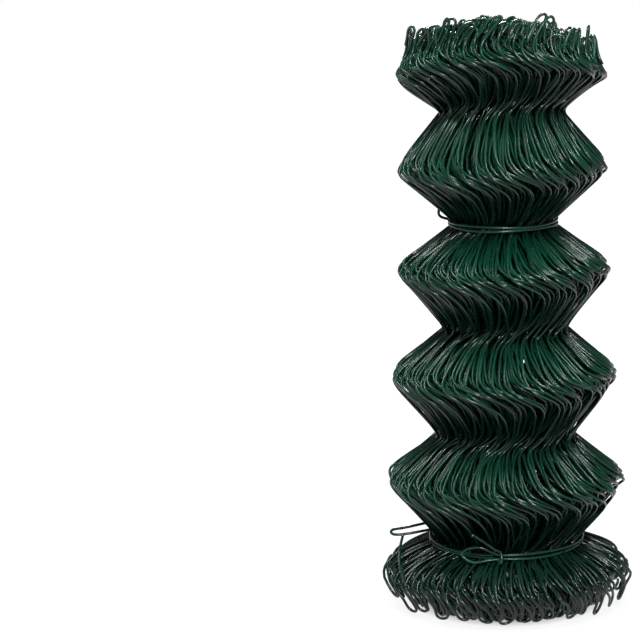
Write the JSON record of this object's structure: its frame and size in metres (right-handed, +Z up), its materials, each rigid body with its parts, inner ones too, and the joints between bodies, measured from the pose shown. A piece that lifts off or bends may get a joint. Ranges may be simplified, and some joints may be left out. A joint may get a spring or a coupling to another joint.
{
  "type": "roll of chain-link fencing",
  "caption": "Compact standing roll of green coated chain-link mesh, closed up so its wires fold into stacked ridges and waists, held by doubled tie wires.",
  "frame": {"origin": "centre of the foot, on the floor under the roll's axis", "axes": "+Z up along the roll's axis, -Y towards the side that the picture shows, +X to the right of the picture"},
  "size_m": [0.2169, 0.217, 0.5],
  "materials": {
    "coated_wire": "semi-gloss dark green PVC coat on steel wire",
    "tie_wire": "semi-gloss dark green PVC coat on steel wire"
  },
  "bodies": {
    "root": {"fence_roll": "coated_wire", "middle_tie": "tie_wire", "lower_tie": "tie_wire"}
  },
  "joints": []
}
